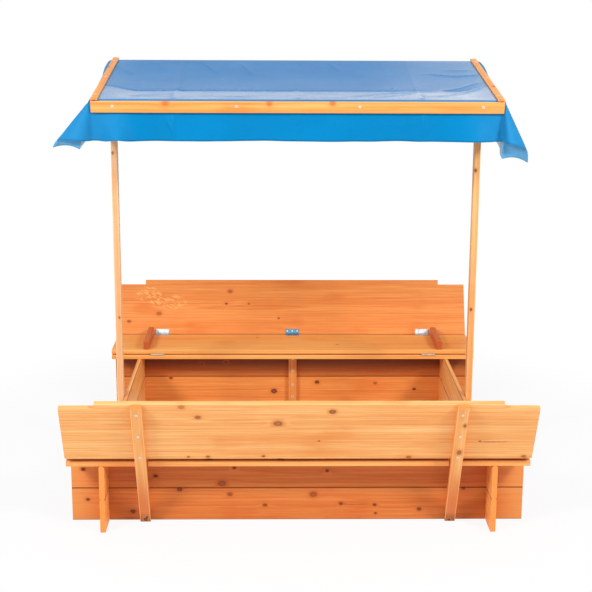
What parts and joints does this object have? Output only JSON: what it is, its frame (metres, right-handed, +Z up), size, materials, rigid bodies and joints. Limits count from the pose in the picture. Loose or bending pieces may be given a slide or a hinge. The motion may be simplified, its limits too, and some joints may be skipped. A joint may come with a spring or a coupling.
{
  "type": "sandbox with cover",
  "caption": "Square wooden sandbox whose hinged cover boards fold out into two facing benches, under a tilting fabric canopy on two posts.",
  "frame": {"origin": "on the ground, under the middle of the box", "axes": "+Z up, +X to the right, -Y towards the front bench, so the cover boards and the canopy pivot run along X"},
  "size_m": [1.2682, 1.4242, 1.1745],
  "materials": {
    "wall_timber": "planed pine with an amber oil stain",
    "bench_timber": "planed pine with an amber oil stain",
    "batten_timber": "planed pine with an amber oil stain",
    "post_timber": "planed pine with an amber oil stain",
    "canopy_timber": "planed pine with an amber oil stain",
    "tarpaulin": "coated woven sheet, soft sheen",
    "zinc_steel": "bright zinc plate",
    "screw_steel": "bright zinc plate"
  },
  "bodies": {
    "box": {"back_lower_board": "wall_timber", "front_lower_board": "wall_timber", "right_lower_board": "wall_timber", "left_lower_board": "wall_timber", "back_upper_board": "wall_timber", "front_upper_board": "wall_timber", "right_upper_board": "wall_timber", "left_upper_board": "wall_timber", "back_centre_cleat": "batten_timber", "back_fixed_board": "bench_timber", "front_centre_cleat": "batten_timber", "front_fixed_board": "bench_timber", "fold_hinge_lower_leaves": "zinc_steel", "cleat_screws": "screw_steel", "fixed_board_screws": "screw_steel", "fold_hinge_lower_screws": "screw_steel", "right_post": "post_timber", "left_post": "post_timber", "post_bolts": "zinc_steel", "post_bolt_nuts": "zinc_steel", "pivot_bolts": "zinc_steel", "pivot_wing_nuts": "zinc_steel", "washers": "zinc_steel"},
    "front_seat": {"front_seat_board": "bench_timber", "front_seat_blocks": "batten_timber", "front_fold_hinge_upper_leaves": "zinc_steel", "front_lean_hinge_seat_leaves": "zinc_steel", "front_hinge_pins": "zinc_steel", "front_seat_screws": "screw_steel"},
    "front_backrest": {"front_backrest_board": "bench_timber", "front_left_batten": "batten_timber", "front_right_batten": "batten_timber", "front_lean_hinge_back_leaves": "zinc_steel", "front_backrest_hinge_screws": "screw_steel", "front_batten_screws": "screw_steel"},
    "back_seat": {"back_seat_board": "bench_timber", "back_seat_blocks": "batten_timber", "back_fold_hinge_upper_leaves": "zinc_steel", "back_lean_hinge_seat_leaves": "zinc_steel", "back_hinge_pins": "zinc_steel", "back_seat_screws": "screw_steel"},
    "back_backrest": {"back_backrest_board": "bench_timber", "back_left_batten": "batten_timber", "back_right_batten": "batten_timber", "back_lean_hinge_back_leaves": "zinc_steel", "back_backrest_hinge_screws": "screw_steel", "back_batten_screws": "screw_steel"},
    "roof": {"left_roof_rail": "canopy_timber", "right_roof_rail": "canopy_timber", "front_cross_rail": "canopy_timber", "rear_cross_rail": "canopy_timber", "front_fascia": "canopy_timber", "rear_fascia": "canopy_timber", "left_top_strip": "canopy_timber", "right_top_strip": "canopy_timber", "tarpaulin": "tarpaulin", "frame_screws": "screw_steel", "strip_screws": "screw_steel"}
  },
  "joints": [
    {"name": "front_seat_fold", "type": "hinge", "parent": "box", "child": "front_seat", "pos_m": [0, -0.3955, 0.198], "axis": [-1, 0, 0], "range_deg": [0, 179.9]},
    {"name": "front_backrest_fold", "type": "hinge", "parent": "front_seat", "child": "front_backrest", "pos_m": [0, -0.598, 0.2162], "axis": [-1, 0, 0], "range_deg": [-64.22, 0]},
    {"name": "back_seat_fold", "type": "hinge", "parent": "box", "child": "back_seat", "pos_m": [0, 0.3955, 0.198], "axis": [1, 0, 0], "range_deg": [0, 179.9]},
    {"name": "back_backrest_fold", "type": "hinge", "parent": "back_seat", "child": "back_backrest", "pos_m": [0, 0.598, 0.2162], "axis": [1, 0, 0], "range_deg": [-64.22, 0]},
    {"name": "roof_tilt", "type": "hinge", "parent": "box", "child": "roof", "pos_m": [0, 0, 1.1145], "axis": [1, 0, 0], "range_deg": [-33.3, 16.7]}
  ],
  "couplings": [
    {"joint": "front_backrest_fold", "follows": "front_seat_fold", "ratio": -0.35668},
    {"joint": "back_backrest_fold", "follows": "back_seat_fold", "ratio": -0.35668}
  ]
}
